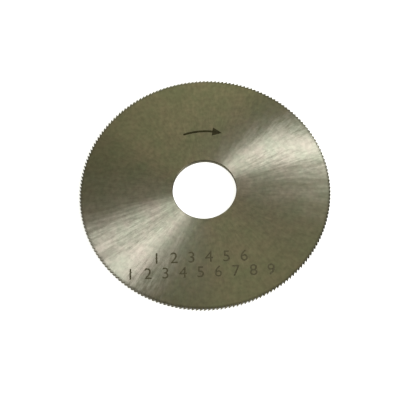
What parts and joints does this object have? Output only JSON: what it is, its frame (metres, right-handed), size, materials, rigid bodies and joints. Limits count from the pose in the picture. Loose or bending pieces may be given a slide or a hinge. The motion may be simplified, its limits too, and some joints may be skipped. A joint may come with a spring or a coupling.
{
  "type": "circular saw blade",
  "caption": "Flat round metal slitting saw with fine teeth all round its rim, shallow hollow-ground sides and a plain arbor bore.",
  "frame": {"origin": "middle of the resting side, on the bore's axis, in the plane of the flat rim margin", "axes": "+Z along the bore's axis, out of the marked side; +Y from the middle towards the rotation mark; seen from +Z the teeth cut clockwise"},
  "size_m": [0.05, 0.05, 0.001],
  "materials": {
    "ground_tool_steel": "satin, finely ground in arcs through the centre"
  },
  "bodies": {
    "root": {"saw_blade": "ground_tool_steel"}
  },
  "joints": []
}
